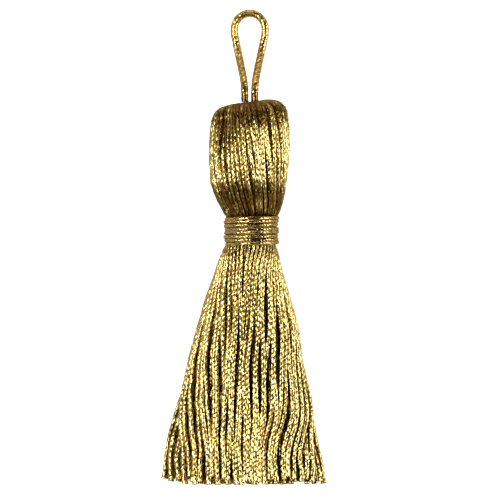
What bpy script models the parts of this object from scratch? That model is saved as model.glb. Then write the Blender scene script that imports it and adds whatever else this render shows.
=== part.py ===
"""A small gold tassel of metallic yarn, lying on its back on a flat surface.

Run it with: blender --background --python part.py

The frame is in metres. +Y runs along the tassel towards its head, +X across it, and +Z up from the surface.
The origin is on the surface, under the middle of the tassel without its hanging loop.
Sizes below are in millimetres unless their names say otherwise.
"""

import math
import random

import bmesh
import bpy
import numpy as np
from mathutils import Vector

MM = 0.001

# Overall sizes
LENGTH = 60.0
CROWN_Y = LENGTH / 2
PIECE_GAP = 0.3

# Head: the yarn folded over the hanging loop
HEAD_FLATTENING = 0.94
HEAD_RIBS = 38
HEAD_LEAN = 0.022
RIB_DEPTH = 0.3
RIB_UNEVENNESS = (0.55, 1.25)
RIB_SEED = 11
CROWN_TILT = 0.13
CROWN_TILT_REACH = 6.0
SEAT_RADIUS = 1.55
SEAT_DEPTH = 0.9
RIM_RADIUS = 2.1
RIM_DEPTH = 0.3

# Neck and its binding
NECK_RADIUS = 3.35
NECK_X = 1.36
NECK_Z = 5.0
NECK_TOP = 17.55
ROOT_DEPTH = 22.7
BINDING_TOP = 17.9
BINDING_HEIGHT = 4.65
BINDING_TURNS = 8
BINDING_THREAD = 0.6
BINDING_GROOVE = 0.27
BINDING_EDGE = 0.02
BINDING_SIDES = 28

# Skirt
STRANDS = 130
STRAND_SIDES = 4
STRAND_SEED = 5
ROOT_SINK = 0.8
ROOT_THICKNESS = 0.36
STRAND_THICKNESS = 0.56
STRAND_GAP = 0.05
FULL_THICKNESS_AFTER = 10.0
END_UNEVENNESS = 1.3
STRAND_WANDER = 0.1
SETTLE_STEP = 0.4
SETTLE_ROUNDS = 24
SETTLE_SHARE = 0.25
CROWDING = 1.06
APART_STEP = 0.4
APART_ROUNDS = 120
APART_SHARE = 0.1
CLOSEST = 1e-6

# Hanging loop
LOOP_DIAMETER = 1.2
LOOP_POINT_SPACING = 1.1
LOOP_FINE_STEPS = 12

# Edges sharper than these angles, in degrees, stay sharp where the rest is shaded smooth.
HEAD_SHARP_FROM = 60
STRAND_SHARP_FROM = 40
BINDING_SHARP_FROM = 70

# The head's shape, from the crown down. Depth is below the crown, and each row is a section across the head.
HEAD_SECTIONS = [
    # depth, middle_x, half_width, middle_z
    (0.36, 1.12, 2.95, 5.65),
    (0.85, 1.12, 4.19, 5.65),
    (1.40, 1.12, 5.27, 5.65),
    (2.64, 1.11, 5.81, 5.65),
    (4.50, 1.10, 6.12, 5.65),
    (7.30, 1.09, 6.28, 5.65),
    (9.60, 1.00, 6.20, 5.64),
    (12.90, 0.93, 5.89, 5.50),
    (15.40, 1.10, 5.30, 5.25),
    (17.10, 1.30, 4.55, 5.05),
]

# How the skirt spreads, from its roots down. A section is half an ellipse from its widest level up to its
# top, and half an ellipse down to its underside, which comes to lie flat on the surface.
SKIRT_SECTIONS = [
    # depth, middle_x, half_width, widest_z, top_z, underside_z
    (ROOT_DEPTH, 1.36, 3.20, 5.00, 8.20, 1.80),
    (23.7, 1.15, 4.35, 4.70, 9.00, 0.90),
    (26.4, 0.98, 5.10, 3.80, 8.75, 0.25),
    (30.0, 0.85, 6.30, 2.60, 8.10, 0.00),
    (36.0, 0.80, 8.00, 1.50, 7.10, 0.00),
    (44.0, 0.42, 9.95, 0.75, 6.00, 0.00),
    (52.0, 0.15, 11.60, 0.45, 5.45, 0.00),
    (LENGTH, -0.05, 13.00, 0.30, 5.00, 0.00),
]

# The hanging loop's route, from one leg's foot in the crown, round its tip and back to the other's.
LOOP_ROUTE = [
    # x, y, z
    (0.37, 29.40, 5.65),
    (0.35, 30.90, 5.62),
    (0.26, 32.30, 5.15),
    (0.08, 33.50, 4.15),
    (-0.14, 34.60, 2.90),
    (-0.40, 35.80, 1.75),
    (-0.70, 37.20, 0.95),
    (-1.02, 38.80, 0.66),
    (-1.28, 40.30, 0.65),
    (-1.10, 41.75, 0.65),
    (-0.22, 42.86, 0.65),
    (1.12, 43.27, 0.65),
    (2.46, 42.83, 0.65),
    (3.34, 41.68, 0.65),
    (3.48, 40.20, 0.65),
    (3.20, 38.70, 0.66),
    (2.88, 37.15, 0.95),
    (2.60, 35.80, 1.75),
    (2.36, 34.60, 2.90),
    (2.15, 33.50, 4.15),
    (1.98, 32.30, 5.15),
    (1.89, 30.90, 5.62),
    (1.87, 29.40, 5.65),
]


def clear_scene():
    for thing in list(bpy.data.objects):
        bpy.data.objects.remove(thing)


def yarn_material(name, colour, roughness, metallic):
    material = bpy.data.materials.new(name)
    material.use_nodes = True
    shader = material.node_tree.nodes["Principled BSDF"]
    shader.inputs["Base Color"].default_value = (*colour, 1.0)
    shader.inputs["Roughness"].default_value = roughness
    shader.inputs["Metallic"].default_value = metallic
    material.diffuse_color = (*colour, 1.0)
    return material


def add_object(name, data, material):
    data.materials.append(material)
    thing = bpy.data.objects.new(name, data)
    bpy.context.scene.collection.objects.link(thing)
    return thing


def add_tube(bm, rings, closed=False):
    """Adds a skin over rings of points, from its start to its end, with its ends capped or joined."""
    made = [[bm.verts.new(Vector(point) * MM) for point in ring] for ring in rings]
    count = len(made[0])
    pairs = list(zip(made[:-1], made[1:]))
    if closed:
        pairs.append((made[-1], made[0]))
    for near, far in pairs:
        for i in range(count):
            after = (i + 1) % count
            bm.faces.new((near[i], near[after], far[after], far[i]))
    if not closed:
        bm.faces.new(list(reversed(made[0])))
        bm.faces.new(made[-1])


def finish_mesh(bm, name, sharp_from):
    bmesh.ops.recalc_face_normals(bm, faces=bm.faces)
    mesh = bpy.data.meshes.new(name)
    bm.to_mesh(mesh)
    bm.free()
    mesh.shade_smooth()
    mesh.set_sharp_from_angle(angle=math.radians(sharp_from))
    return mesh


def ring_point(angle, middle_x, y, middle_z, half_width, half_height):
    """A point of a section across the tassel. Angle 0 is at +X and a quarter turn is at the top."""
    x = middle_x + half_width * math.cos(angle)
    return x, y, middle_z + half_height * math.sin(angle)


def crown_lift(depth, across):
    """How far the head's tilt lifts a point, which fades out down the head."""
    fade = max(0.0, 1.0 - depth / CROWN_TILT_REACH)
    return CROWN_TILT * across * fade


def head_rings():
    """The head's and neck's sections, down to the skirt's roots.

    The head has a rib for each strand that shows, and is pressed flat where it rests on the surface. The ribs
    lean round the head by HEAD_LEAN, in radians for each millimetre down it.
    """
    chance = random.Random(RIB_SEED)
    count = 2 * HEAD_RIBS
    grooves = [RIB_DEPTH * chance.uniform(*RIB_UNEVENNESS) if i % 2 else 0.0 for i in range(count)]
    _, first_x, first_width, first_z = HEAD_SECTIONS[0]
    sections = [
        (SEAT_DEPTH, first_x, SEAT_RADIUS, first_z),
        (RIM_DEPTH, first_x, RIM_RADIUS, first_z),
        *HEAD_SECTIONS,
        (NECK_TOP, NECK_X, NECK_RADIUS, NECK_Z),
        (ROOT_DEPTH, NECK_X, NECK_RADIUS, NECK_Z),
    ]
    rings = []
    for depth, middle_x, half_width, middle_z in sections:
        ribbed = half_width >= first_width and depth < NECK_TOP
        half_height = half_width * HEAD_FLATTENING if ribbed else half_width
        ring = []
        for i in range(count):
            angle = 2 * math.pi * i / count - HEAD_LEAN * depth
            groove = grooves[i] if ribbed else 0.0
            width, height = half_width - groove, half_height - groove
            x, y, z = ring_point(angle, middle_x, CROWN_Y - depth, middle_z, width, height)
            if ribbed:
                y += crown_lift(depth, x - middle_x)
            pressed = middle_z + half_height * math.sin(angle) <= 0.0
            ring.append((x, y, 0.0 if pressed else z))
        rings.append(ring)
    return rings


def skirt_section(depth):
    """The skirt's outline at a depth below the crown, read between the table's rows."""
    table = np.array(SKIRT_SECTIONS)
    return [float(np.interp(depth, table[:, 0], table[:, k])) for k in range(1, table.shape[1])]


def keep_inside(points, section, margin):
    """Moves strand centres that lie outside a section's outline onto it, a strand's half thickness in."""
    middle_x, half_width, widest_z, top_z, underside_z = section
    half_width -= margin
    low_z = underside_z + margin
    widest_z = max(widest_z, low_z)
    across = np.clip((points[:, 0] - middle_x) / half_width, -1.0, 1.0)
    floor = widest_z - (widest_z - low_z) * np.sqrt(1 - across**2)
    high = top_z - margin - widest_z
    up = np.maximum((points[:, 1] - widest_z) / high, 0.0)
    shrink = 1 / np.maximum(np.hypot(across, up), 1.0)
    points[:, 0] = middle_x + across * shrink * half_width
    above = widest_z + up * shrink * high
    points[:, 1] = np.where(up > 0, above, np.maximum(points[:, 1], floor))


def section_area(section):
    _, half_width, _, top_z, underside_z = section
    return math.pi * half_width * (top_z - underside_z) / 2


def settle(points, section, thickness):
    """Pushes a section's strand centres apart until they fill its outline evenly."""
    row_height = math.sqrt(3) / 2
    spacing = CROWDING * math.sqrt(section_area(section) / (len(points) * row_height))
    for _ in range(SETTLE_ROUNDS):
        offset = points[:, None] - points[None, :]
        distance = np.hypot(offset[..., 0], offset[..., 1])
        np.fill_diagonal(distance, np.inf)
        push = np.maximum(spacing / np.maximum(distance, CLOSEST) - 1.0, 0.0)
        points += SETTLE_SHARE * (offset * push[..., None]).sum(axis=1)
        keep_inside(points, section, thickness / 2)
    return points


def keep_apart(placed, depths):
    """Moves the strands' centres so that between the depths, too, the strands pass clear of each other."""
    levels = np.arange(depths[0], depths[-1], APART_STEP)
    weights = np.stack([np.interp(levels, depths, row) for row in np.eye(len(depths))], axis=1)
    reach = np.array([strand_thickness(level) + STRAND_GAP for level in levels])[:, None, None]
    order = np.arange(STRANDS)
    for _ in range(APART_ROUNDS):
        at = np.einsum("ls,sic->lic", weights, placed)
        offset = at[:, :, None] - at[:, None, :]
        distance = np.hypot(offset[..., 0], offset[..., 1])
        distance[:, order, order] = np.inf
        push = np.maximum(reach / np.maximum(distance, CLOSEST) - 1.0, 0.0)
        move = (offset * push[..., None]).sum(axis=2)
        placed += APART_SHARE * np.einsum("ls,lic->sic", weights, move)
        for points, depth in zip(placed, depths):
            keep_inside(points, skirt_section(depth), strand_thickness(depth) / 2)
    return placed


def carry_over(points, old, new):
    """The same places in the next section's outline, before its strands settle."""
    old_x, old_half, _, old_top, old_low = old
    new_x, new_half, _, new_top, new_low = new
    x = new_x + (points[:, 0] - old_x) * new_half / old_half
    z = new_low + (points[:, 1] - old_low) * (new_top - new_low) / (old_top - old_low)
    return np.stack([x, z], axis=1)


def strand_thickness(depth):
    share = (depth - ROOT_DEPTH) / FULL_THICKNESS_AFTER
    return ROOT_THICKNESS + (STRAND_THICKNESS - ROOT_THICKNESS) * min(max(share, 0.0), 1.0)


def strand_roots():
    """The strands' centres where they leave the neck, as (x, z), spread evenly over its end."""
    golden_angle = math.pi * (3 - math.sqrt(5))
    order = np.arange(STRANDS)
    out = np.sqrt((order + 0.5) / STRANDS) * (NECK_RADIUS - ROOT_THICKNESS)
    turn = order * golden_angle
    return np.stack([NECK_X + out * np.cos(turn), NECK_Z + out * np.sin(turn)], axis=1)


def skirt_strands():
    """Each strand's centres down the skirt, as a list of (x, y, z, thickness)."""
    chance = np.random.default_rng(STRAND_SEED)
    depths = [row[0] for row in SKIRT_SECTIONS]
    points = strand_roots()
    placed = [points]
    for start, end in zip(depths[:-1], depths[1:]):
        points = points + chance.uniform(-STRAND_WANDER, STRAND_WANDER, points.shape)
        levels = np.linspace(start, end, round((end - start) / SETTLE_STEP) + 1)
        for before, depth in zip(levels[:-1], levels[1:]):
            section = skirt_section(depth)
            points = carry_over(points, skirt_section(before), section)
            points = settle(points, section, strand_thickness(depth))
        placed.append(points)
    placed = keep_apart(np.array(placed), depths)
    short = chance.uniform(0.0, END_UNEVENNESS, STRANDS)
    short -= short.min()
    strands = []
    for i in range(STRANDS):
        x, z = placed[0][i]
        strand = [(x, CROWN_Y - ROOT_DEPTH + ROOT_SINK, z, ROOT_THICKNESS)]
        for depth, points in zip(depths, placed):
            x, z = points[i]
            y = CROWN_Y - depth + (short[i] if depth == LENGTH else 0.0)
            strand.append((x, y, z, strand_thickness(depth)))
        strands.append(strand)
    return strands


def strand_rings(strand):
    """A strand's rings of points. With four sides it has an edge on top and one that lies on the surface."""
    rings = []
    for x, y, z, thickness in strand:
        half = thickness / 2
        turns = [2 * math.pi * k / STRAND_SIDES for k in range(STRAND_SIDES)]
        rings.append([ring_point(turn, x, y, z, half, half) for turn in turns])
    return rings


def build_yarn(material):
    """The folded yarn: the head, the neck and the skirt's strands, all one piece."""
    bm = bmesh.new()
    add_tube(bm, head_rings())
    yarn = add_object("folded_yarn", finish_mesh(bm, "folded_yarn", HEAD_SHARP_FROM), material)
    bm = bmesh.new()
    for strand in skirt_strands():
        add_tube(bm, strand_rings(strand))
    guide = add_object("strand_guide", finish_mesh(bm, "strand_guide", STRAND_SHARP_FROM), material)
    guide.hide_render = True
    guide.display_type = "WIRE"
    union = yarn.modifiers.new("strands", "BOOLEAN")
    union.operation = "UNION"
    union.solver = "EXACT"
    union.object = guide


def binding_profile():
    """The binding's section as (depth, radius), with a ridge for each turn of its thread."""
    pitch = BINDING_HEIGHT / BINDING_TURNS
    bottom = BINDING_TOP + BINDING_HEIGHT
    bore = NECK_RADIUS + PIECE_GAP
    profile = [(bottom, bore), (BINDING_TOP, bore), (BINDING_TOP + BINDING_EDGE, bore + BINDING_GROOVE)]
    for turn in range(BINDING_TURNS):
        profile.append((BINDING_TOP + (turn + 0.5) * pitch, bore + BINDING_THREAD))
        if turn < BINDING_TURNS - 1:
            profile.append((BINDING_TOP + (turn + 1) * pitch, bore + BINDING_GROOVE))
    profile.append((bottom - BINDING_EDGE, bore + BINDING_GROOVE))
    return profile


def build_binding(material):
    """The thread wound round the neck, as a ridged band."""
    turns = [2 * math.pi * i / BINDING_SIDES for i in range(BINDING_SIDES)]
    rings = []
    for depth, radius in binding_profile():
        rings.append([ring_point(turn, NECK_X, CROWN_Y - depth, NECK_Z, radius, radius) for turn in turns])
    bm = bmesh.new()
    add_tube(bm, rings, closed=True)
    add_object("neck_binding", finish_mesh(bm, "neck_binding", BINDING_SHARP_FROM), material)


def curve_point(a, b, c, d, t):
    """A point between b and c on the smooth curve through all four, with t from 0 to 1."""
    return 0.5 * (2 * b + (c - a) * t + (2 * a - 5 * b + 4 * c - d) * t**2 + (3 * b - a - 3 * c + d) * t**3)


def smooth_route(route, spacing):
    """Points about that far apart along a smooth curve through all of the route's points."""
    points = [Vector(p) for p in route]
    points = [2 * points[0] - points[1], *points, 2 * points[-1] - points[-2]]
    fine = []
    for four in zip(points, points[1:], points[2:], points[3:]):
        fine.extend(curve_point(*four, step / LOOP_FINE_STEPS) for step in range(LOOP_FINE_STEPS))
    fine.append(points[-2])
    along = np.cumsum([0.0] + [(q - p).length for p, q in zip(fine, fine[1:])])
    at = np.linspace(0.0, along[-1], round(along[-1] / spacing) + 1)
    columns = np.array([tuple(p) for p in fine])
    return np.stack([np.interp(at, along, columns[:, k]) for k in range(3)], axis=1)


def build_loop(material):
    """The cord that the tassel hangs by, lying in a loop above the head."""
    points = smooth_route(LOOP_ROUTE, LOOP_POINT_SPACING)
    curve = bpy.data.curves.new("hanging_loop", "CURVE")
    curve.dimensions = "3D"
    curve.bevel_depth = LOOP_DIAMETER / 2 * MM
    curve.bevel_resolution = 2
    curve.use_fill_caps = True
    spline = curve.splines.new("POLY")
    spline.points.add(len(points) - 1)
    for slot, point in zip(spline.points, points):
        slot.co = (*(point * MM), 1.0)
    add_object("hanging_loop", curve, material)


def main():
    clear_scene()
    build_yarn(yarn_material("gold_yarn", (0.62, 0.44, 0.15), 0.35, 0.85))
    build_binding(yarn_material("gold_binding_thread", (0.56, 0.38, 0.12), 0.32, 0.85))
    build_loop(yarn_material("gold_cord", (0.50, 0.34, 0.11), 0.38, 0.85))


main()
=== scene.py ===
"""A small gold tassel of metallic yarn, lying on its back: the looks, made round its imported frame.

Lengths are in millimetres unless a comment says metres. MM turns them into metres.
+Y runs along the tassel towards its head, +X across it, and +Z up from the surface.
"""

import math

import bpy
import numpy as np
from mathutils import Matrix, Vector

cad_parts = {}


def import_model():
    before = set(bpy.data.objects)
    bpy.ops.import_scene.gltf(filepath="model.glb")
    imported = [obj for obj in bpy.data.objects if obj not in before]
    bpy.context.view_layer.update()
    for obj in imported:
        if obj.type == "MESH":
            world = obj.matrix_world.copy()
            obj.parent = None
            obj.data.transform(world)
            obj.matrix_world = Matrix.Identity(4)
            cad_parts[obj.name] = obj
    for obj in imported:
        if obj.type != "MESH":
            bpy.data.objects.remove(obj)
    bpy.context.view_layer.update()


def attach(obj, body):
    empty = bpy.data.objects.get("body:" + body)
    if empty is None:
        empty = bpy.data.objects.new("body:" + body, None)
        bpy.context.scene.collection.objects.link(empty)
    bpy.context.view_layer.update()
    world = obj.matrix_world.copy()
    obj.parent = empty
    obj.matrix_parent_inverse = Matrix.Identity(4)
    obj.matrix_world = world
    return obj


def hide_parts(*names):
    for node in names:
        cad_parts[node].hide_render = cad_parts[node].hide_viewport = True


MM = 0.001
BODY = "root"
TINY = 1e-6
NEARLY_UPRIGHT = 0.9

# Where each series of random draws starts
STRAND_SEED = 8
BRIGHT_YARN_SEED = 4
BINDING_SEED = 21

# The photograph's frame: how wide it is on the object, and the place under its middle
VIEW_WIDTH = 77.5
VIEW_X = 1.16
VIEW_Y = 6.59
CAMERA_HEIGHT = 1000.0
SENSOR_WIDTH = 36.0

# The tassel without its hanging loop. Depths are measured down from the crown
CROWN_Y = 30.0
LENGTH = 60.0
CROWN_TILT = 0.15
CROWN_TILT_REACH = 6.0

# Yarn: plies twisted together, with slanting beads in columns along them
STRAND_RADIUS = 0.44
THINNEST_STRAND = 0.24
TWIST_PITCH = 12.0
PITCH_SPREAD = 0.35
TWIST_SLACK = 0.5
TWIST_SLACK_LENGTH = 1.7
RINGS_PER_MM = 5.0
YARN_COLUMNS = 4
POINTS_PER_PLY = 3
PLY_RELIEF = 0.03
BEAD_LENGTH = 0.92
BEAD_RELIEF = 0.13
BEAD_SLANT = 0.5
BEAD_SHIFT = 7.3  # from one strand to the next

# The beads' finer relief, colour and gloss, and the painted shade at their edges and in the ply creases
BEAD_FULLNESS = 0.28
BEAD_TIP = 1.8
BEAD_EDGE = (0.07, 0.38)
BEAD_EDGE_SHADE = 0.95
CREASE_FROM = 0.5
CREASE_PAINTED_SHADE = 0.8
COPPERY = (0.80, 0.71, 0.52)
TINT_SHARES = (0.6, 0.4)  # bead by bead, yarn by yarn
GLOSS_SPREAD = (-0.08, 0.10)
TONE_STEP = 977.0
FOIL_TINT = (1.0, 0.84, 0.50, 1.0)
# The inner yarn's colour is painted shade, for the cores and the skirt's low layer, which show only in the
# gaps
INNER_SHADE_COLOUR = (0.16, 0.085, 0.012, 1.0)

# Painted shade: how dark yarn is painted where it is buried, on its flanks, at the crown, low on the head,
# in the left hollow and on the loop at the crown, less on a few yarns and beads and at one spot
BURIED_SHADE = 0.58
BURIED_FROM = 0.10
BURIED_OVER = 0.22
FLANK_SHADE = 0.88
FLANK_FROM = 0.30
FLANK_OVER = 0.20
HEAD_FLANKS = 0.80
BINDING_FLANKS = 0.98
DARKEST_PAINTED_SHADE = 0.97
SHADE_FADE = 0.9
SHADE_JITTER = 0.5
SHADE_WAVES = [(4.7, 1.0), (2.3, 0.7)]  # degrees for a radian, share
BRIGHT_YARNS = 0.24
BRIGHT_YARN_SHADE = 0.60
BRIGHT_BEADS = 0.16
BRIGHT_BEAD_SHARE = 0.42
CROWN_SHADE_EDGE = 4.8
LOW_SHADE_EDGE = 12.9
LEFT_HOLLOW_SHADE = [(2.0, 0.0), (3.5, 1.0), (7.6, 1.0), (9.2, 0.0)]  # depth, share
LIGHTER_SPOT_DEPTH = 16.2
LIGHTER_SPOT_ANGLE = 66.0
LIGHTER_SPOT_HEIGHT = 1.1
LIGHTER_SPOT_WIDTH = 15.0
LIGHTER_SPOT_SHARE = 0.26
LOOP_SHADE_EDGE = 32.4
LOOP_SHADE_FADE = 2.0

# Head
OUTER_STRANDS = 52
INNER_STRANDS = 38
INNER_SINK = 0.62
UNDER_POINTS_PER_PLY = 2
HEAD_LINE_POINTS = 260
HEAD_SOFTENING = 6
HEAD_FLATTENING = 0.94
HEAD_ROUNDING = (17.0, 18.5)
HEAD_LEAN = 0.022
HEAD_WANDER = 0.032
HEAD_WAVES = [(2.9, 0.6), (5.3, 1.0)]  # length for a radian, share
HEAD_FILL = 0.53
HEAD_SPACING_SPREAD = 0.2
CROWDED_WIDTH = 0.75
CROWDED_LAYER = 0.9
HEAD_UNEVENNESS = 0.07
CROWN_SINK = 0.95
CROWN_SINK_UNTIL = 8.6
NECK_SINK = 0.55
NECK_SINK_FROM = 10.0
SINK_OVER = 8.0
LEFT_HOLLOW = 0.80
LEFT_HOLLOW_ANGLE = 135.0
LEFT_HOLLOW_SPREAD = 24.0
LEFT_HOLLOW_RISE = (0.8, 3.2, 9.0)

# The cores in the head and in the binding, in the painted shade colour
CORE_SIDES = 72
CORE_LOWEST = 0.5
CORE_SINK = 0.75
CORE_THINNEST = 0.6
CORE_GROOVE = 0.10
CORE_GROOVES = 36
CORE_LINE_POINTS = 120
CORE_SOFTENING = 4
CORE_RINGS = 60
BINDING_CORE_RINGS = 8

# Loose fibres on the head
STRAY_FIBRES = 26
STRAY_LIFT = 0.38
STRAY_RINGS = 34
STRAY_FREE_RINGS = (8, 6)  # at the crown, at the neck
STRAY_DRIFT = 0.35
STRAY_RADIUS = 0.08
STRAY_PLIES = 2
STRAY_POINTS_PER_PLY = 2

# Neck and its binding
NECK_X = 1.36
NECK_Z = 5.0
NECK_RADIUS = 3.35
BINDING_TOP = 17.9
BINDING_HEIGHT = 4.95
BINDING_TURNS = 7.85
BINDING_START = 1.35  # half turns
BINDING_THREAD = 0.33
BINDING_RADIUS = 3.92
BINDING_PITCH = 4.0
BINDING_PLIES = 2
BINDING_BEAD_RELIEF = 0.12
BINDING_TONE = 0.6
BINDING_DRAWN_POINTS = 1900
BINDING_RINGS = 1500
BINDING_SLIPS = [(0.37, 0.055), (0.93, 0.065)]  # waves in a turn, height
BINDING_SWELLS = [(0.71, 0.07), (3.3, 0.07)]  # waves in a turn, height
BINDING_TUCK = 0.75
BINDING_TUCK_TURNS = 0.12
THREAD_POINTS_PER_PLY = 6

# Skirt
SKIRT_STRANDS = 120
SKIRT_PIECES = 4
SKIRT_START = 20.6
SKIRT_SOFTENING = 6
SKIRT_SLACK = 1.02
ROOT_RADIUS = 0.26
FULL_RADIUS_FROM = 22.0
FULL_RADIUS_AFTER = 9.0
STRAND_SIZES = (0.80, 1.05)
END_UNEVENNESS = 1.3
END_FRAY = 0.3
END_FRAY_LENGTH = 1.6
SETTLE_STEP = 0.4
SETTLE_ROUNDS = 24
SETTLE_SHARE = 0.25
CROWDING = 1.06
EDGE_MARGIN = 0.9
EDGE_CALM = 3.0
EDGE_WANDER = 0.1
WANDER = 0.22
WANDER_FROM = 23.0
WANDER_OVER = 12.0
WANDER_HEIGHT = 2.5
WANDER_LIMITS = (0.3, 1.3)
WAVES_ACROSS = [(3.1, 0.5), (7.3, 1.0)]  # length for a radian, share
WAVES_UP = [(3.7, 0.4), (6.1, 0.6)]  # length for a radian, share
LEAST_RISE = 0.001

# The low layer of yarns under the skirt
UNDERSIDE_YARNS = 13
UNDERSIDE_POINTS = 12
UNDERSIDE_RINGS = 40
UNDERSIDE_START = 33.0
UNDERSIDE_END = 55.0
UNDERSIDE_SHARE = (0.60, 0.87)
UNDERSIDE_FULL_AFTER = 5.0
UNDERSIDE_TOP = 0.42
UNDERSIDE_GROOVE = 0.14
UNDERSIDE_BOTTOM = 0.12
UNDERSIDE_THINNEST = 0.02

# Hanging loop
LOOP_DIAMETER = 1.2
LOOP_PITCH = 3.4
LOOP_PLIES = 3
LOOP_TONE = 0.5
LOOP_RINGS = 170
LOOP_BEAD_RELIEF = 0.05
ROUTE_STEPS = 12

# Room. These lengths are in metres
LAMP_DISTANCE = 0.6
FLOOR_HALF_WIDTH = 3.0
FLOOR_LEVEL = -0.00002
WALL_COLOUR = (1.0, 0.90, 0.76, 1.0)
WALL_LOW = 0.20
WALL_TOP_ENDS = 0.42
WALL_TOP_SIDES = 0.62
WALL_LIGHT_ENDS = 0.50
WALL_LIGHT_SIDES = 0.60
CEILING_LIGHT = 0.035

# In each row, dark is the painted shade colour that the foil is mixed towards
METAL_YARNS = [  # name, bright, dark, roughness, bead_height
    ("gold_yarn", (0.94, 0.785, 0.32), (0.140, 0.064, 0.004), 0.25, 0.078),
    ("binding_thread", (0.72, 0.58, 0.25), (0.075, 0.030, 0.001), 0.15, 0.056),
    ("loop_cord", (0.90, 0.66, 0.23), (0.12, 0.05, 0.002), 0.30, 0.045)]
LAMPS = [  # name, degrees from straight above, degrees round, width and depth in metres, watts, colour
    ("left_lamp", -34, 0, 0.30, 0.25, 3.15, (1.0, 0.98, 0.94)),
    ("right_lamp", 68, 0, 0.26, 0.25, 2.1, (1.0, 0.98, 0.94)),
    ("head_end_lamp", -71, 90, 0.12, 0.36, 0.6, (1.0, 0.92, 0.80)),
    ("skirt_end_lamp", 71, 90, 0.12, 0.36, 0.5, (1.0, 0.92, 0.80))]

HEAD_LINE = [  # depth, radius of the strands' middle line
    (2.10, 1.45), (1.25, 1.62), (0.82, 2.05), (0.74, 2.60), (0.88, 3.50), (1.12, 4.38),
    (1.62, 5.06), (2.60, 5.50), (4.60, 5.75), (7.30, 5.88), (9.60, 5.84), (12.90, 5.55),
    (14.70, 5.20), (16.00, 4.82), (17.20, 4.35), (17.95, 4.08), (18.40, 3.40), (19.60, 3.02)]
HEAD_MIDDLE = [  # depth, middle_x, middle_z
    (0.0, 1.12, 5.65), (4.5, 1.10, 5.65), (9.6, 1.00, 5.64), (12.9, 0.93, 5.50),
    (15.4, 1.10, 5.25), (17.1, 1.30, 5.05), (18.5, 1.36, 5.00)]
SKIRT_SECTIONS = [  # depth, middle_x, half_width, widest_z, top_z, underside_z
    (20.6, 1.36, 3.35, 5.00, 8.35, 1.65), (22.3, 1.36, 3.80, 5.00, 8.70, 1.30),
    (23.7, 1.15, 4.50, 4.70, 9.10, 0.80), (26.4, 0.98, 5.15, 3.80, 8.80, 0.22),
    (30.0, 0.85, 6.35, 2.60, 8.15, 0.00), (36.0, 0.80, 8.05, 1.50, 7.15, 0.00),
    (41.0, 0.40, 9.00, 1.15, 6.45, 0.00), (44.0, 0.48, 9.75, 0.95, 6.05, 0.00),
    (46.6, 0.40, 10.65, 0.88, 5.88, 0.00), (52.0, 0.15, 11.80, 0.75, 5.50, 0.00),
    (60.0, -0.05, 13.05, 0.60, 5.05, 0.00)]
LOOP_ROUTE = [  # x, y, z
    (0.37, 29.40, 5.65), (0.35, 30.90, 5.62), (0.26, 32.30, 5.15), (0.08, 33.50, 4.15),
    (-0.14, 34.60, 2.90), (-0.40, 35.80, 1.75), (-0.70, 37.20, 0.95), (-1.02, 38.80, 0.66),
    (-1.28, 40.30, 0.65), (-1.10, 41.75, 0.65), (-0.22, 42.86, 0.65), (1.12, 43.27, 0.65),
    (2.46, 42.83, 0.65), (3.34, 41.68, 0.65), (3.48, 40.20, 0.65), (3.20, 38.70, 0.66),
    (2.88, 37.15, 0.95), (2.60, 35.80, 1.75), (2.36, 34.60, 2.90), (2.15, 33.50, 4.15),
    (1.98, 32.30, 5.15), (1.89, 30.90, 5.62), (1.87, 29.40, 5.65)]


def set_inputs(node, values):
    for name, value in values.items():
        node.inputs[name].default_value = value


class Nodes:
    """Short ways to add shader nodes. Where a value is asked for, another node's output will do."""

    def __init__(self, owner):
        owner.use_nodes = True
        self.tree = owner.node_tree

    def new(self, kind):
        return self.tree.nodes.new("ShaderNode" + kind)

    def put(self, value, socket):
        if isinstance(value, (int, float)):
            socket.default_value = value
        else:
            self.tree.links.new(value, socket)

    def attribute(self, name):
        node = self.new("Attribute")
        node.attribute_name = name
        return node.outputs

    def calculate(self, operation, *values):
        node = self.new("Math")
        node.operation = operation
        for socket, value in zip(node.inputs, values):
            self.put(value, socket)
        return node.outputs[0]

    def ramp(self, value, low, high, to_low, to_high, kind="LINEAR"):
        node = self.new("MapRange")
        node.interpolation_type = kind
        names = ("Value", "From Min", "From Max", "To Min", "To Max")
        for name, setting in zip(names, (value, low, high, to_low, to_high)):
            self.put(setting, node.inputs[name])
        return node.outputs["Result"]

    def blend(self):
        """A mix of two colours: inputs 0, 6 and 7 are the share and the colours, output 2 the mix."""
        node = self.new("Mix")
        node.data_type = "RGBA"
        return node


def bead_places(nodes, tone):
    """Where a point lies in its bead, across and along it, and three numbers that the bead draws.

    Columns of beads run along the yarn, and every second column is half a bead on.
    """
    calculate = nodes.calculate
    place = nodes.new("SeparateXYZ")
    nodes.put(nodes.attribute("yarn_place")["Vector"], place.inputs[0])
    turn = calculate("ARCTAN2", place.outputs["Y"], place.outputs["X"])
    across = calculate("MULTIPLY_ADD", turn, YARN_COLUMNS / (2 * math.pi), YARN_COLUMNS)
    column = calculate("FLOOR", across)
    across = calculate("SUBTRACT", calculate("FRACT", across), 0.5)
    odd = calculate("MODULO", column, 2.0)
    slant = calculate("MULTIPLY", across, calculate("MULTIPLY_ADD", odd, -2 * BEAD_SLANT, BEAD_SLANT))
    along = calculate("MULTIPLY_ADD", place.outputs["Z"], 1 / BEAD_LENGTH, slant)
    along = calculate("MULTIPLY_ADD", odd, 0.5, along)
    row = calculate("FLOOR", along)
    along = calculate("SUBTRACT", calculate("FRACT", along), 0.5)
    bead = nodes.new("CombineXYZ")
    for socket, value in zip(bead.inputs, (column, row, calculate("MULTIPLY", tone, TONE_STEP))):
        nodes.put(value, socket)
    random = nodes.new("TexWhiteNoise")
    nodes.put(bead.outputs[0], random.inputs["Vector"])
    draws = nodes.new("SeparateColor")
    nodes.put(random.outputs["Color"], draws.inputs["Color"])
    return across, along, draws.outputs


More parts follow.
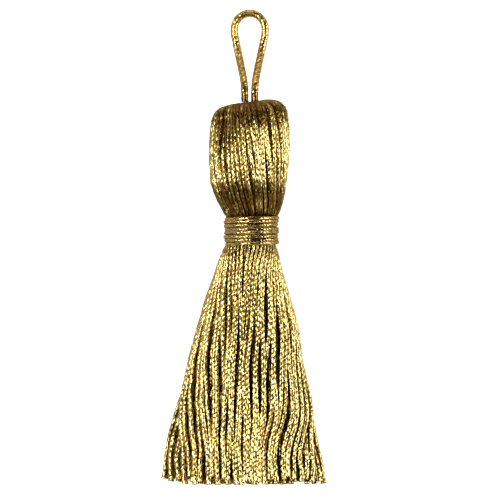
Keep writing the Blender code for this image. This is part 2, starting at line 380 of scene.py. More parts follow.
def bead_relief(nodes, across, along, draws, height):
    """Each bead's dome, and the relief finer than the mesh: domes are fuller and lean their own way."""
    calculate = nodes.calculate
    round_across = calculate("MULTIPLY_ADD", calculate("MULTIPLY", across, across), -4.0, 1.0)
    round_along = calculate("MULTIPLY_ADD", calculate("MULTIPLY", along, along), -4.0, 1.0)
    dome = calculate("MULTIPLY", calculate("SQRT", round_across), round_along)
    lean = calculate("MULTIPLY_ADD", calculate("SUBTRACT", draws[0], 0.5), across, BEAD_FULLNESS)
    tip = calculate("MULTIPLY", along, BEAD_TIP)
    lean = calculate("MULTIPLY_ADD", calculate("SUBTRACT", draws[1], 0.5), tip, lean)
    bump = nodes.new("Bump")
    set_inputs(bump, {"Strength": 1.0, "Distance": 2 * height * MM})
    nodes.put(calculate("MULTIPLY", dome, lean), bump.inputs["Height"])
    return dome, bump.outputs["Normal"]


def foil_colour(nodes, tone, dome, draws, bright, dark):
    """Bright foil, varied yarn by yarn and bead by bead, with painted shade between beads, in the ply
    creases and where the painted shade attribute says.
    """
    calculate = nodes.calculate
    tint = nodes.blend()
    tint.inputs[6].default_value = (*[share * c for share, c in zip(COPPERY, bright)], 1.0)
    tint.inputs[7].default_value = (*bright, 1.0)
    by_bead, by_yarn = TINT_SHARES
    own = calculate("MULTIPLY_ADD", draws[2], by_bead, calculate("MULTIPLY", tone, by_yarn))
    nodes.put(own, tint.inputs[0])
    # Painted shade: at the beads' edges, in the ply creases and from the painted shade attribute, which a
    # few beads are partly spared
    between = nodes.ramp(dome, *BEAD_EDGE, BEAD_EDGE_SHADE, 0.0)
    crease_shade = nodes.ramp(nodes.attribute("crease_shade")["Fac"], CREASE_FROM, 1.0, 0.0, CREASE_PAINTED_SHADE)
    bright_bead = calculate("LESS_THAN", draws[1], BRIGHT_BEADS)
    painted_shade = calculate("MULTIPLY_ADD", bright_bead, -BRIGHT_BEAD_SHARE, nodes.attribute("painted_shade")["Fac"])
    all_painted_shade = calculate("MAXIMUM", calculate("MAXIMUM", between, crease_shade), painted_shade)
    # The foil is mixed by that much towards the dark painted shade colour
    colour = nodes.blend()
    colour.inputs[7].default_value = (*dark, 1.0)
    nodes.put(all_painted_shade, colour.inputs[0])
    nodes.put(tint.outputs[2], colour.inputs[6])
    return colour.outputs[2]


def metal_yarn(name, bright, dark, roughness, bead_height):
    """Metal-coated yarn laid in columns of slanting beads that glint one by one, with painted shade between
    them.
    """
    material = bpy.data.materials.new(name)
    nodes = Nodes(material)
    shader = material.node_tree.nodes["Principled BSDF"]
    set_inputs(shader, {"Metallic": 1.0, "Coat Weight": 0.35, "Coat Roughness": 0.2, "Coat IOR": 1.5})
    set_inputs(shader, {"Specular Tint": FOIL_TINT})
    tone = nodes.attribute("tone")["Fac"]
    across, along, draws = bead_places(nodes, tone)
    dome, normal = bead_relief(nodes, across, along, draws, bead_height)
    glossiest, dullest = (roughness + change for change in GLOSS_SPREAD)
    nodes.put(foil_colour(nodes, tone, dome, draws, bright, dark), shader.inputs["Base Color"])
    nodes.put(nodes.ramp(draws[0], 0.0, 1.0, glossiest, dullest), shader.inputs["Roughness"])
    nodes.put(normal, shader.inputs["Normal"])
    return material


def painted_shade_yarn():
    """Plain yarn in a dark painted shade colour, which shows only in the gaps."""
    material = bpy.data.materials.new("painted_shade_yarn")
    material.use_nodes = True
    shader = material.node_tree.nodes["Principled BSDF"]
    set_inputs(shader, {"Base Color": INNER_SHADE_COLOUR, "Metallic": 1.0, "Roughness": 0.5})
    return material


def ply_section(plies, points_per_ply):
    """A strand's outline with a radius of 1, ply by ply: its places, their angles, how deep each is."""
    angle = 2 * math.pi * np.arange(plies * points_per_ply) / (plies * points_per_ply) + math.pi / plies
    valley = (1 - np.cos(plies * angle)) / 2
    radius = 1 - PLY_RELIEF * valley**1.5
    return np.stack([radius * np.cos(angle), radius * np.sin(angle)], axis=1), angle, valley**2


def unit_rows(vectors):
    return vectors / np.linalg.norm(vectors, axis=-1, keepdims=True)


def carried_frames(paths):
    """Two directions across each strand, carried along it without turning about it."""
    along = unit_rows(np.gradient(paths, axis=1))
    start = np.where(np.abs(along[:, :1, 2:]) < NEARLY_UPRIGHT, (0.0, 0.0, 1.0), (1.0, 0.0, 0.0))[:, 0]
    side = np.empty_like(paths)
    side[:, 0] = unit_rows(np.cross(along[:, 0], start))
    for k in range(1, paths.shape[1]):
        ahead = along[:, k]
        before = side[:, k - 1]
        side[:, k] = unit_rows(before - (before * ahead).sum(-1, keepdims=True) * ahead)
    return side, np.cross(along, side)


def evenly(path, count):
    """That many points, evenly spaced along a path, and the path's length."""
    along = np.concatenate([[0.0], np.cumsum(np.linalg.norm(np.diff(path, axis=0), axis=1))])
    at = np.linspace(0.0, along[-1], count)
    return np.stack([np.interp(at, along, path[:, k]) for k in range(3)], axis=1), along[-1]


def softened(path, width):
    """A path with its corners rounded by a running mean, its two ends left where they are."""
    padded = np.concatenate([2 * path[:1] - path[width:0:-1], path, 2 * path[-1:] - path[-2:-width - 2:-1]])
    window = np.hanning(2 * width + 3)[1:-1]
    window /= window.sum()
    return np.stack([np.convolve(padded[:, k], window, "valid") for k in range(path.shape[1])], axis=1)


def waves(along, lengths, starts):
    """The sum of a few waves. Each has the length over which it runs one radian, and its share."""
    return sum(share * np.sin(along / length + start) for (length, share), start in zip(lengths, starts))


def ripples(angle, rates, starts):
    """The sum of a few waves round a middle, each with its own number in a turn and its own height."""
    return sum(height * np.sin(angle * rate + start) for (rate, height), start in zip(rates, starts))


def table_at(table, depth):
    """The table's other columns at those depths, read between its rows."""
    rows = np.array(table)
    return [np.interp(depth, rows[:, 0], rows[:, k]) for k in range(1, rows.shape[1])]


def add_attribute(mesh, name, values):
    """Keeps a number or a vector for each of a mesh's points, for its material to read."""
    kind = "FLOAT" if values.ndim == 1 else "FLOAT_VECTOR"
    field = "value" if values.ndim == 1 else "vector"
    mesh.attributes.new(name, kind, "POINT").data.foreach_set(field, values.ravel())


def bead_domes(angle, along):
    """How high a yarn's points stand in their beads: 0 at a bead's edge and 1 at its middle."""
    across = angle * YARN_COLUMNS / (2 * math.pi)
    column = np.floor(across + TINY)
    across = across - column - 0.5
    odd = column % 2
    row = along / BEAD_LENGTH + 0.5 * odd + BEAD_SLANT * (1 - 2 * odd) * across
    row = row - np.floor(row) - 0.5
    return np.sqrt(np.maximum(1 - 4 * across**2, 0)) * (1 - 4 * row**2)


def twisted_mesh(
        name, paths, radii, pitch, phases, tones, plies=YARN_COLUMNS, points_per_ply=POINTS_PER_PLY,
        fray=0.0, painted_shade_at=None, bead_relief=BEAD_RELIEF):
    """One mesh of twisted strands. paths is strands x rings x 3, and radii is strands x rings."""
    section, angle, valley = ply_section(plies, points_per_ply)
    strands, rings, _ = paths.shape
    sides = len(section)
    steps = np.linalg.norm(np.diff(paths, axis=1), axis=2)
    along = np.concatenate([np.zeros((strands, 1)), np.cumsum(steps, axis=1)], axis=1)
    side, up = carried_frames(paths)
    pitches = pitch * (1 + PITCH_SPREAD * (tones[:, None] - 0.5))
    slack = TWIST_SLACK * np.sin(along / TWIST_SLACK_LENGTH + 3 * phases[:, None])
    turn = 2 * math.pi * along / pitches + phases[:, None] + slack
    cosine = np.cos(turn)[..., None]
    sine = np.sin(turn)[..., None]
    first = cosine * side + sine * up
    second = cosine * up - sine * side
    place_angle = angle - math.pi / plies
    place_along = along + BEAD_SHIFT * np.arange(strands)[:, None]
    domes = bead_domes(place_angle, place_along[..., None])
    spread = (radii[..., None] * (1 - bead_relief * (1 - domes)))[..., None] * section
    if fray:
        near_end = np.clip(1 - (along[:, -1:] - along) / END_FRAY_LENGTH, 0, 1) ** 2
        spread = spread * (1 + fray * near_end)[..., None, None]
    points = paths[:, :, None] + spread[..., :1] * first[:, :, None] + spread[..., 1:] * second[:, :, None]

    corner = np.arange(strands * rings * sides).reshape(strands, rings, sides)
    after = np.roll(corner, -1, axis=2)
    quads = np.stack([corner[:, :-1], after[:, :-1], after[:, 1:], corner[:, 1:]], axis=-1).reshape(-1, 4)
    caps = np.concatenate([corner[:, 0, ::-1], corner[:, -1]])
    mesh = bpy.data.meshes.new(name)
    mesh.from_pydata((points.reshape(-1, 3) * MM).tolist(), [], quads.tolist() + caps.tolist())
    mesh.shade_smooth()

    shape = (strands, rings, sides)
    place = np.empty((*shape, 3))
    place[..., 0] = np.cos(place_angle)
    place[..., 1] = np.sin(place_angle)
    place[..., 2] = place_along[..., None]
    add_attribute(mesh, "yarn_place", place.reshape(-1, 3))
    add_attribute(mesh, "tone", np.broadcast_to(tones[:, None, None], shape).ravel())
    add_attribute(mesh, "crease_shade", np.broadcast_to(valley, shape).ravel())
    # Painted shade for each point, which the material mixes into the foil colour
    if painted_shade_at is not None:
        add_attribute(mesh, "painted_shade", painted_shade_at(points, paths[:, :, None]).ravel())
    return mesh


def ringed_mesh(name, rings):
    """A closed body through rings of points, from the first ring to the last."""
    corner = np.arange(rings.shape[0] * rings.shape[1]).reshape(rings.shape[:2])
    after = np.roll(corner, -1, axis=1)
    quads = np.stack([corner[:-1], corner[1:], after[1:], after[:-1]], axis=-1).reshape(-1, 4)
    caps = [corner[0].tolist(), corner[-1, ::-1].tolist()]
    mesh = bpy.data.meshes.new(name)
    mesh.from_pydata((rings.reshape(-1, 3) * MM).tolist(), [], quads.tolist() + caps)
    mesh.shade_smooth()
    return mesh


def turned_mesh(name, sections, groove, grooves):
    """A closed body of grooved rings. Rows of sections: y, middle_x, middle_z, radius, flattening."""
    turn = np.linspace(0, 2 * math.pi, CORE_SIDES, endpoint=False)
    points = []
    for y, middle_x, middle_z, radius, flattening in sections:
        out = radius + groove * np.cos(turn * grooves)
        x = middle_x + out * np.cos(turn)
        z = middle_z + flattening * out * np.sin(turn)
        tilt = CROWN_TILT * (x - middle_x) * max(0.0, 1 - (CROWN_Y - y) / CROWN_TILT_REACH)
        points.append(np.stack([x, y + tilt, np.maximum(z, CORE_LOWEST)], axis=1))
    return ringed_mesh(name, np.array(points))


def add_piece(name, mesh, material, replaces):
    piece = bpy.data.objects.new(name, mesh)
    bpy.context.scene.collection.objects.link(piece)
    mesh.materials.append(material)
    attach(piece, BODY)
    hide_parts(replaces)
    return piece


def head_line(count, width):
    """HEAD_LINE in that many steps, softened: depth, radius and 0. Also its length before softening."""
    line = np.array([(depth, radius, 0.0) for depth, radius in HEAD_LINE])
    line, length = evenly(line, count)
    return softened(line, width), length


def from_left_hollow(angle):
    """How far round the head an angle is from the hollow at its left, in degrees."""
    return (angle - LEFT_HOLLOW_ANGLE + 180) % 360 - 180


def head_paths(count, sink, chance):
    """The strands' middle lines down the head, from the crown's dimple to under the binding."""
    line, length = head_line(HEAD_LINE_POINTS, HEAD_SOFTENING)
    rings = round(length * RINGS_PER_MM)
    line, _ = evenly(line, rings)
    depth, radius = line[:, 0], line[:, 1] - sink
    middle_x, middle_z = table_at(HEAD_MIDDLE, depth)
    run = np.linspace(0, length, rings)
    crowding = np.clip(1 - 2 * math.pi * radius / count / (2 * STRAND_RADIUS * CROWDED_WIDTH), 0, 1)
    deepest = np.interp(depth, LEFT_HOLLOW_RISE, (0.0, LEFT_HOLLOW, 0.0))
    flat = np.interp(depth, HEAD_ROUNDING, (HEAD_FLATTENING, 1.0))
    sunk = CROWN_SINK * np.maximum((CROWN_SINK_UNTIL - depth) / SINK_OVER, 0) ** 2
    sunk = sunk + NECK_SINK * np.maximum((depth - NECK_SINK_FROM) / SINK_OVER, 0) ** 2
    sizes = np.clip(HEAD_FILL * 2 * math.pi * radius / count, THINNEST_STRAND, STRAND_RADIUS)
    paths = []
    for i in range(count):
        place = i + chance.uniform(-HEAD_SPACING_SPREAD, HEAD_SPACING_SPREAD)
        angle = 2 * math.pi * place / count - HEAD_LEAN * (run - length / 2)
        starts = chance.uniform(0, 2 * math.pi, 2)
        angle = angle + HEAD_WANDER * waves(run, HEAD_WAVES, starts)
        layer = chance.uniform(0.0, CROWDED_LAYER) * crowding
        layer = layer + chance.uniform(-HEAD_UNEVENNESS, HEAD_UNEVENNESS)
        aside = from_left_hollow(np.degrees(angle))
        out = radius - layer - deepest * np.exp(-(aside / LEFT_HOLLOW_SPREAD) ** 2)
        x = middle_x + out * np.cos(angle)
        z = middle_z + (out * flat - sunk) * np.sin(angle)
        tilt = CROWN_TILT * (x - middle_x) * np.maximum(0, 1 - depth / CROWN_TILT_REACH)
        path = np.stack([x, CROWN_Y - depth + tilt, np.maximum(z, STRAND_RADIUS)], axis=1)
        paths.append(evenly(path, rings)[0])
    return np.array(paths), np.tile(sizes, (count, 1))


def buried_painted_shade(depth_under):
    """How much painted shade a point gets that lies so far under the yarn's outer surface."""
    return BURIED_SHADE * np.clip((depth_under - BURIED_FROM) / BURIED_OVER, 0, 1)


def flank_painted_shade(points, middles, out_x, out_z, radius):
    """How much painted shade yarns' flanks get. out_x and out_z say which way is out of the surface they
    lie in.
    """
    offset = (points[..., 0] - middles[..., 0]) * out_x + (points[..., 2] - middles[..., 2]) * out_z
    offset = offset / np.hypot(out_x, out_z) * STRAND_RADIUS / radius
    return FLANK_SHADE * np.clip((FLANK_FROM - offset) / FLANK_OVER, 0, 1)


def head_painted_shade(points, middles):
    """How much painted shade the head's yarn gets: at the crown, low down, in the left hollow and on its
    flanks between strands.
    """
    depth = CROWN_Y - points[..., 1]
    middle_x, middle_z = table_at(HEAD_MIDDLE, depth)
    angle = np.degrees(np.arctan2(points[..., 2] - middle_z, points[..., 0] - middle_x))
    # Painted shade at the crown, low on the head and in the left hollow, weaker on a few yarns and at one
    # spot low on the head
    uneven = SHADE_JITTER * waves(angle, SHADE_WAVES, (0.0, 1.0))
    crown = np.clip((CROWN_SHADE_EDGE + uneven - depth) / SHADE_FADE, 0, 1)
    low = np.clip((depth - LOW_SHADE_EDGE - uneven) / SHADE_FADE, 0, 1)
    aside = from_left_hollow(angle)
    hollow = np.interp(depth, *zip(*LEFT_HOLLOW_SHADE)) * np.exp(-(aside / LEFT_HOLLOW_SPREAD) ** 2)
    draws = np.random.default_rng(BRIGHT_YARN_SEED).uniform(0, 1, (len(points), 1, 1))
    darkest = np.where(draws < BRIGHT_YARNS, BRIGHT_YARN_SHADE, DARKEST_PAINTED_SHADE)
    zone_shade = darkest * np.maximum(np.maximum(crown, low), hollow)
    spot_down = (depth - LIGHTER_SPOT_DEPTH) / LIGHTER_SPOT_HEIGHT
    spot_round = (angle - LIGHTER_SPOT_ANGLE) / LIGHTER_SPOT_WIDTH
    zone_shade = zone_shade * (1 - LIGHTER_SPOT_SHARE * np.exp(-(spot_down**2 + spot_round**2)))
    # Painted shade on the strands' flanks, where they meet
    out_x = middles[..., 0] - middle_x
    out_z = middles[..., 2] - middle_z
    flanks = HEAD_FLANKS * flank_painted_shade(points, middles, out_x, out_z, STRAND_RADIUS)
    return np.maximum(zone_shade, flanks)


def under_painted_shade(points, middles):
    """Painted shade all over the head's inner yarn, which lies buried."""
    return np.full(points.shape[:3], BURIED_SHADE)


def head_core_mesh():
    """The yarn under the strands that show, as one turned body."""
    line, _ = evenly(head_line(CORE_LINE_POINTS, CORE_SOFTENING)[0], CORE_RINGS)
    sections = []
    for depth, radius, _ in line:
        middle_x, middle_z = table_at(HEAD_MIDDLE, depth)
        radius = max(radius - CORE_SINK, CORE_THINNEST)
        sections.append((CROWN_Y - depth, middle_x, middle_z, radius, HEAD_FLATTENING))
    return turned_mesh("head_core", sections, CORE_GROOVE, CORE_GROOVES)


def stray_mesh(chance):
    """Thin fibres that have come loose and lie over the head's strands."""
    paths, _ = head_paths(STRAY_FIBRES, -STRAY_LIFT, chance)
    first, last = STRAY_FREE_RINGS
    starts = chance.integers(first, paths.shape[1] - STRAY_RINGS - last, STRAY_FIBRES)
    loose = np.array([path[k:k + STRAY_RINGS] for path, k in zip(paths, starts)])
    middle_x, middle_z = table_at(HEAD_MIDDLE, CROWN_Y - loose[..., 1])
    angle = np.arctan2(loose[..., 2] - middle_z, loose[..., 0] - middle_x)
    drift = chance.uniform(-STRAY_DRIFT, STRAY_DRIFT, (STRAY_FIBRES, 1))
    drift = drift * np.linspace(-1, 1, STRAY_RINGS)
    loose[..., 0] -= drift * np.sin(angle)
    loose[..., 2] += drift * np.cos(angle)
    radii = np.full(loose.shape[:2], STRAY_RADIUS)
    phases = chance.uniform(0, 2 * math.pi, STRAY_FIBRES)
    return twisted_mesh(
        "stray_fibres", loose, radii, TWIST_PITCH, phases, np.ones(STRAY_FIBRES), plies=STRAY_PLIES,
        points_per_ply=STRAY_POINTS_PER_PLY)


def keep_inside(points, section, margin):
    """Moves strand centres that lie outside a section's outline onto it, a strand's radius in."""
    middle_x, half_width, widest_z, top_z, underside_z = section
    half_width = half_width - margin
    low_z = underside_z + margin
    widest_z = max(widest_z, low_z)
    across = np.clip((points[:, 0] - middle_x) / half_width, -1.0, 1.0)
    floor = widest_z - (widest_z - low_z) * np.sqrt(1 - across**2)
    high = top_z - margin - widest_z
    up = np.maximum((points[:, 1] - widest_z) / high, 0.0)
    shrink = 1 / np.maximum(np.hypot(across, up), 1.0)
    points[:, 0] = middle_x + across * shrink * half_width
    points[:, 1] = np.where(up > 0, widest_z + up * shrink * high, np.maximum(points[:, 1], floor))


def settle(points, section, margin):
    """Pushes a section's strand centres apart until they fill its outline evenly."""
    _, half_width, _, top_z, underside_z = section
    area = math.pi * half_width * (top_z - underside_z) / 2
    spacing = CROWDING * math.sqrt(area / (len(points) * math.sqrt(3) / 2))
    for _ in range(SETTLE_ROUNDS):
        offset = points[:, None] - points[None, :]
        distance = np.hypot(offset[..., 0], offset[..., 1])
        np.fill_diagonal(distance, np.inf)
        push = np.maximum(spacing / np.maximum(distance, TINY) - 1.0, 0.0)
        points += SETTLE_SHARE * (offset * push[..., None]).sum(axis=1)
        keep_inside(points, section, margin)
    return points


def carried_on(points, section, ahead):
    """A section's strand centres, moved and stretched with its outline into the one ahead."""
    x, half_width, _, top_z, underside_z = section
    ahead_x, ahead_half_width, _, ahead_top_z, ahead_underside_z = ahead
    height = top_z - underside_z
    ahead_height = ahead_top_z - ahead_underside_z
    across = ahead_x + (points[:, 0] - x) * ahead_half_width / half_width
    up = ahead_underside_z + (points[:, 1] - underside_z) * ahead_height / height
    return np.stack([across, up], axis=1)


def strand_radius(depth):
    share = np.clip((depth - FULL_RADIUS_FROM) / FULL_RADIUS_AFTER, 0, 1)
    return ROOT_RADIUS + (STRAND_RADIUS - ROOT_RADIUS) * share


def settled_centres(depths):
    """Where the skirt's strands lie at those depths: depths x strands x 2, for x and z."""
    order = np.arange(SKIRT_STRANDS)
    out = np.sqrt((order + 0.5) / SKIRT_STRANDS) * (NECK_RADIUS - ROOT_RADIUS)
    turn = order * math.pi * (3 - math.sqrt(5))
    points = np.stack([NECK_X + out * np.cos(turn), NECK_Z + out * np.sin(turn)], axis=1)
    placed = [points]
    section = [float(c) for c in table_at(SKIRT_SECTIONS, depths[0])]
    for depth in depths[1:]:
        ahead = [float(c) for c in table_at(SKIRT_SECTIONS, depth)]
        margin = EDGE_MARGIN * float(strand_radius(depth))
        points = settle(carried_on(points, section, ahead), ahead, margin)
        placed.append(points)
        section = ahead
    return np.array(placed)


def skirt_paths(chance):
    """The strands' middle lines down the skirt, which settle beside each other as it spreads."""
    depths = np.linspace(SKIRT_START, LENGTH, round((LENGTH - SKIRT_START) / SETTLE_STEP) + 1)
    placed = settled_centres(depths)
    middle_x, half_width, _, _, _ = table_at(SKIRT_SECTIONS, depths)
    rings = round((LENGTH - SKIRT_START) * SKIRT_SLACK * RINGS_PER_MM)
    paths, radii = [], []
    for i in range(SKIRT_STRANDS):
        starts = chance.uniform(0, 2 * math.pi, 4)
        aside = np.abs(placed[:, i, 0] - middle_x) / half_width
        calm = np.clip(EDGE_CALM * (1 - aside), EDGE_WANDER, 1.0)
        free = np.clip(placed[:, i, 1] / WANDER_HEIGHT, *WANDER_LIMITS) * calm
        fade = np.clip((depths - WANDER_FROM) / WANDER_OVER, 0, 1) * WANDER * free
        x = placed[:, i, 0] + fade * waves(depths, WAVES_ACROSS, starts[:2])
        z = placed[:, i, 1] + fade * waves(depths, WAVES_UP, starts[2:])
        path = softened(np.stack([x, CROWN_Y - depths, z], axis=1), SKIRT_SOFTENING)
        path[:, 2] = np.maximum(path[:, 2], strand_radius(depths))
        end = LENGTH - chance.uniform(0.0, END_UNEVENNESS)
        path, _ = evenly(path[depths <= end], rings)
        paths.append(path)
        radii.append(strand_radius(CROWN_Y - path[:, 1]) * chance.uniform(*STRAND_SIZES))
    return np.array(paths), np.array(radii)


def skirt_painted_shade(points, middles):
    """How much painted shade the skirt's yarn gets: the more the deeper it lies under the skirt's outer
    surface, and on its flanks.
    """
    depth = CROWN_Y - points[..., 1]
    middle_x, half_width, widest_z, top_z, _ = table_at(SKIRT_SECTIONS, depth)
    across = (points[..., 0] - middle_x) / half_width
    up = np.maximum((points[..., 2] - widest_z) / (top_z - widest_z), LEAST_RISE)
    out = np.hypot(across, up)
    size = (half_width * across**2 + (top_z - widest_z) * up**2) / out**2
    radius = strand_radius(depth)
    buried = buried_painted_shade(size * (1 - out) * STRAND_RADIUS / radius)
    out_x = (middles[..., 0] - middle_x) / half_width**2
    out_z = np.maximum(middles[..., 2] - widest_z, 0.0) / (top_z - widest_z) ** 2 + TINY
    return np.maximum(buried, flank_painted_shade(points, middles, out_x, out_z, radius))


def underside_mesh():
    """The skirt's lowest yarns as one grooved layer, seen only between the strands above it."""
    across = np.linspace(-1, 1, UNDERSIDE_POINTS * UNDERSIDE_YARNS + 1)
    ridge = UNDERSIDE_TOP + UNDERSIDE_GROOVE * np.cos(across * math.pi * UNDERSIDE_YARNS)
    valley = UNDERSIDE_TOP - UNDERSIDE_GROOVE
    rings = []
    for depth in np.linspace(UNDERSIDE_START, UNDERSIDE_END, UNDERSIDE_RINGS):
        middle_x, half_width, _, _, _ = table_at(SKIRT_SECTIONS, depth)
        full = min(1.0, (depth - UNDERSIDE_START) / UNDERSIDE_FULL_AFTER)
        share = UNDERSIDE_SHARE[0] + (UNDERSIDE_SHARE[1] - UNDERSIDE_SHARE[0]) * full
        x = middle_x + across * half_width * share
        y = np.full(len(across), CROWN_Y - depth)
        low = valley - (valley - UNDERSIDE_BOTTOM) * full - UNDERSIDE_THINNEST
        top = np.stack([x, y, ridge], axis=1)
        bottom = np.stack([x, y, np.full(len(across), low)], axis=1)
        rings.append(np.concatenate([top, bottom[::-1]]))
    return ringed_mesh("skirt_underside", np.array(rings))


def binding_path():
    """The binding thread's middle line, wound round the neck, with slightly uneven turns."""
    starts = np.random.default_rng(BINDING_SEED).uniform(0, 2 * math.pi, 3)
    run = np.linspace(0, BINDING_TURNS, BINDING_DRAWN_POINTS)
    angle = 2 * math.pi * run + math.pi * BINDING_START
    high = BINDING_HEIGHT - 2 * BINDING_THREAD
    depth = BINDING_TOP + BINDING_THREAD + run * high / BINDING_TURNS
    depth = depth + ripples(angle, BINDING_SLIPS, starts)
    tuck = np.clip(np.minimum(run, BINDING_TURNS - run) / BINDING_TUCK_TURNS, 0, 1)
    out = BINDING_RADIUS + ripples(angle, BINDING_SWELLS, (starts[2], 0.0)) - BINDING_TUCK * (1 - tuck) ** 2
    path = np.stack([NECK_X + out * np.cos(angle), CROWN_Y - depth, NECK_Z + out * np.sin(angle)], axis=1)
    return evenly(path, BINDING_RINGS)[0]


# Painted shade on the binding thread's flanks, for the dark between its turns
def binding_painted_shade(points, middles):
    out_x = middles[..., 0] - NECK_X
    out_z = middles[..., 2] - NECK_Z
    return flank_painted_shade(points, middles, out_x, out_z, BINDING_THREAD * BINDING_FLANKS)


def binding_core_mesh():
    """A body that shows between the binding's turns, in the painted shade colour."""
    low = BINDING_TOP + BINDING_HEIGHT - BINDING_THREAD
    depths = np.linspace(BINDING_TOP + BINDING_THREAD, low, BINDING_CORE_RINGS)
    sections = [(CROWN_Y - d, NECK_X, NECK_Z, BINDING_RADIUS, 1.0) for d in depths]
    return turned_mesh("binding_core", sections, 0.0, 0)


def smooth_route(route):
    """Points along a smooth curve through all of the route's points."""
    points = np.array(route)
    points = np.concatenate([2 * points[:1] - points[1:2], points, 2 * points[-1:] - points[-2:-1]])
    fine = []
    for a, b, c, d in zip(points, points[1:], points[2:], points[3:]):
        for t in np.linspace(0, 1, ROUTE_STEPS, endpoint=False):
            bend = (2 * a - 5 * b + 4 * c - d) * t**2 + (3 * b - a - 3 * c + d) * t**3
            fine.append(b + 0.5 * ((c - a) * t + bend))
    fine.append(points[-2])
    return np.array(fine)


# Painted shade on the loop where it runs into the crown
def loop_painted_shade(points, middles):
    return DARKEST_PAINTED_SHADE * np.clip((LOOP_SHADE_EDGE - points[..., 1]) / LOOP_SHADE_FADE, 0, 1)


def add_loop(material):
    """The hanging loop, which is the tassel's one cord."""
    loop, _ = evenly(smooth_route(LOOP_ROUTE), LOOP_RINGS)
    radii = np.full((1, len(loop)), LOOP_DIAMETER / 2)
    mesh = twisted_mesh(
        "loop_twist", loop[None], radii, LOOP_PITCH, np.zeros(1), np.full(1, LOOP_TONE),
        LOOP_PLIES, THREAD_POINTS_PER_PLY, painted_shade_at=loop_painted_shade, bead_relief=LOOP_BEAD_RELIEF)
    piece = add_piece("loop_twist", mesh, material, "hanging_loop")


def add_head(material, inner, chance):
    """The head's strands in two layers, the yarn under them in the painted shade colour and loose fibres on
    top.
    """
    layers = [  # name, count, sink, points_per_ply, the function that gives its painted shade
        ("head_strands", OUTER_STRANDS, 0.0, POINTS_PER_PLY, head_painted_shade),
        ("head_under_strands", INNER_STRANDS, INNER_SINK, UNDER_POINTS_PER_PLY, under_painted_shade)]
    for name, count, sink, points_per_ply, painted_shade_at in layers:
        paths, radii = head_paths(count, sink, chance)
        turns = chance.uniform(0, 2 * math.pi, count)
        tones = chance.uniform(0, 1, count)
        mesh = twisted_mesh(
            name, paths, radii, TWIST_PITCH, turns, tones, points_per_ply=points_per_ply, painted_shade_at=painted_shade_at)
        add_piece(name, mesh, material, "folded_yarn")
    add_piece("head_core", head_core_mesh(), inner, "folded_yarn")
    add_piece("stray_fibres", stray_mesh(chance), material, "folded_yarn")


def add_skirt(material, inner, chance):
    """The skirt's strands in a few pieces, and the low layer under them."""
    paths, radii = skirt_paths(chance)
    turns = chance.uniform(0, 2 * math.pi, SKIRT_STRANDS)
    tones = chance.uniform(0, 1, SKIRT_STRANDS)
    for part in range(SKIRT_PIECES):
        name = f"skirt_strands_{part + 1}"
        some = slice(part, None, SKIRT_PIECES)
        mesh = twisted_mesh(
            name, paths[some], radii[some], TWIST_PITCH, turns[some], tones[some],
            fray=END_FRAY, painted_shade_at=skirt_painted_shade)
        add_piece(name, mesh, material, "folded_yarn")
    # The low layer takes the painted shade colour
    add_piece("skirt_underside", underside_mesh(), inner, "folded_yarn")


def add_binding(material, inner):
    """The thread wound round the neck, and a body in the painted shade colour between its turns."""
    path = binding_path()
    radii = np.full((1, len(path)), BINDING_THREAD)
    mesh = twisted_mesh(
        "binding_winding", path[None], radii, BINDING_PITCH, np.zeros(1), np.full(1, BINDING_TONE),
        BINDING_PLIES, THREAD_POINTS_PER_PLY, painted_shade_at=binding_painted_shade, bead_relief=BINDING_BEAD_RELIEF)
    add_piece("binding_winding", mesh, material, "neck_binding")
    add_piece("binding_core", binding_core_mesh(), inner, "neck_binding")


def add_camera():
    data = bpy.data.cameras.new("camera")
    data.sensor_width = SENSOR_WIDTH
    data.lens = SENSOR_WIDTH * CAMERA_HEIGHT / VIEW_WIDTH
    camera = bpy.data.objects.new("camera", data)
    camera.location = Vector((VIEW_X, VIEW_Y, CAMERA_HEIGHT)) * MM
    bpy.context.scene.collection.objects.link(camera)
    bpy.context.scene.camera = camera


def add_lamp(name, degrees_aside, degrees_round, width, depth, watts, colour):
    """A soft lamp at an angle from straight above the tassel, aimed at it, and turned about the tassel."""
    data = bpy.data.lights.new(name, "AREA")
    data.shape = "RECTANGLE"
    data.size = width
    data.size_y = depth
    data.energy = watts
    data.color = colour
    lamp = bpy.data.objects.new(name, data)
    aside = math.radians(degrees_aside)
    around = math.radians(-degrees_round)
    away = LAMP_DISTANCE * math.sin(aside)
    lamp.location = (
        away * math.cos(around), VIEW_Y * MM + away * math.sin(around), LAMP_DISTANCE * math.cos(aside))
    lamp.rotation_euler = (0.0, aside, around)
    bpy.context.scene.collection.objects.link(lamp)


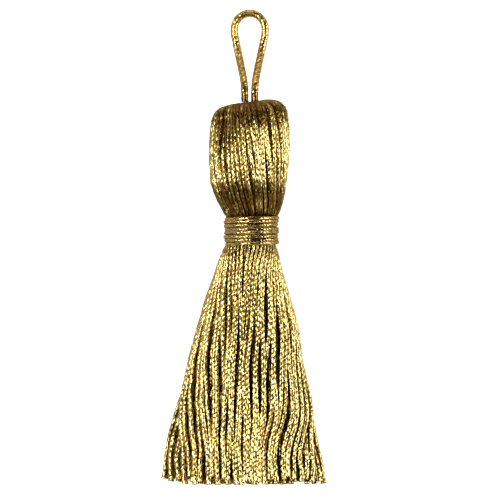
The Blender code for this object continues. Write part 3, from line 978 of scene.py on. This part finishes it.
def add_world():
    """A dim room, paler towards its walls and most of all at the two sides."""
    world = bpy.data.worlds.new("studio")
    nodes = Nodes(world)
    background = world.node_tree.nodes["Background"]
    background.inputs["Color"].default_value = WALL_COLOUR
    direction = nodes.new("TexCoord")
    parts = nodes.new("SeparateXYZ")
    nodes.put(direction.outputs["Generated"], parts.inputs[0])
    aside = nodes.calculate("ABSOLUTE", parts.outputs["X"])
    walls = nodes.ramp(aside, 0.0, 1.0, WALL_LIGHT_ENDS, WALL_LIGHT_SIDES)
    top = nodes.ramp(aside, 0.0, 1.0, WALL_TOP_ENDS, WALL_TOP_SIDES)
    height = nodes.ramp(parts.outputs["Z"], WALL_LOW, top, 1.0, 0.0, kind="SMOOTHSTEP")
    light = nodes.calculate("MULTIPLY_ADD", walls, height, CEILING_LIGHT)
    nodes.put(light, background.inputs["Strength"])
    bpy.context.scene.world = world


def add_floor():
    mesh = bpy.data.meshes.new("floor")
    half = FLOOR_HALF_WIDTH
    outline = [(-half, -half), (half, -half), (half, half), (-half, half)]
    mesh.from_pydata([(x, y, FLOOR_LEVEL) for x, y in outline], [], [(0, 1, 2, 3)])
    material = bpy.data.materials.new("floor_paper")
    material.use_nodes = True
    shader = material.node_tree.nodes["Principled BSDF"]
    set_inputs(shader, {"Base Color": (0.93, 0.93, 0.93, 1.0), "Roughness": 0.9, "Specular IOR Level": 0.1})
    set_inputs(shader, {"Emission Color": (1.0, 1.0, 1.0, 1.0), "Emission Strength": 0.75})
    mesh.materials.append(material)
    floor = bpy.data.objects.new("floor", mesh)
    bpy.context.scene.collection.objects.link(floor)
    floor.visible_glossy = False


def main():
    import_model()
    add_camera()

    gold, thread, cord = [metal_yarn(*row) for row in METAL_YARNS]
    inner = painted_shade_yarn()
    chance = np.random.default_rng(STRAND_SEED)
    add_loop(cord)
    add_head(gold, inner, chance)
    add_skirt(gold, inner, chance)
    add_binding(thread, inner)

    add_floor()
    add_world()
    for lamp in LAMPS:
        add_lamp(*lamp)
    bpy.context.scene.view_settings.view_transform = "Standard"


main()
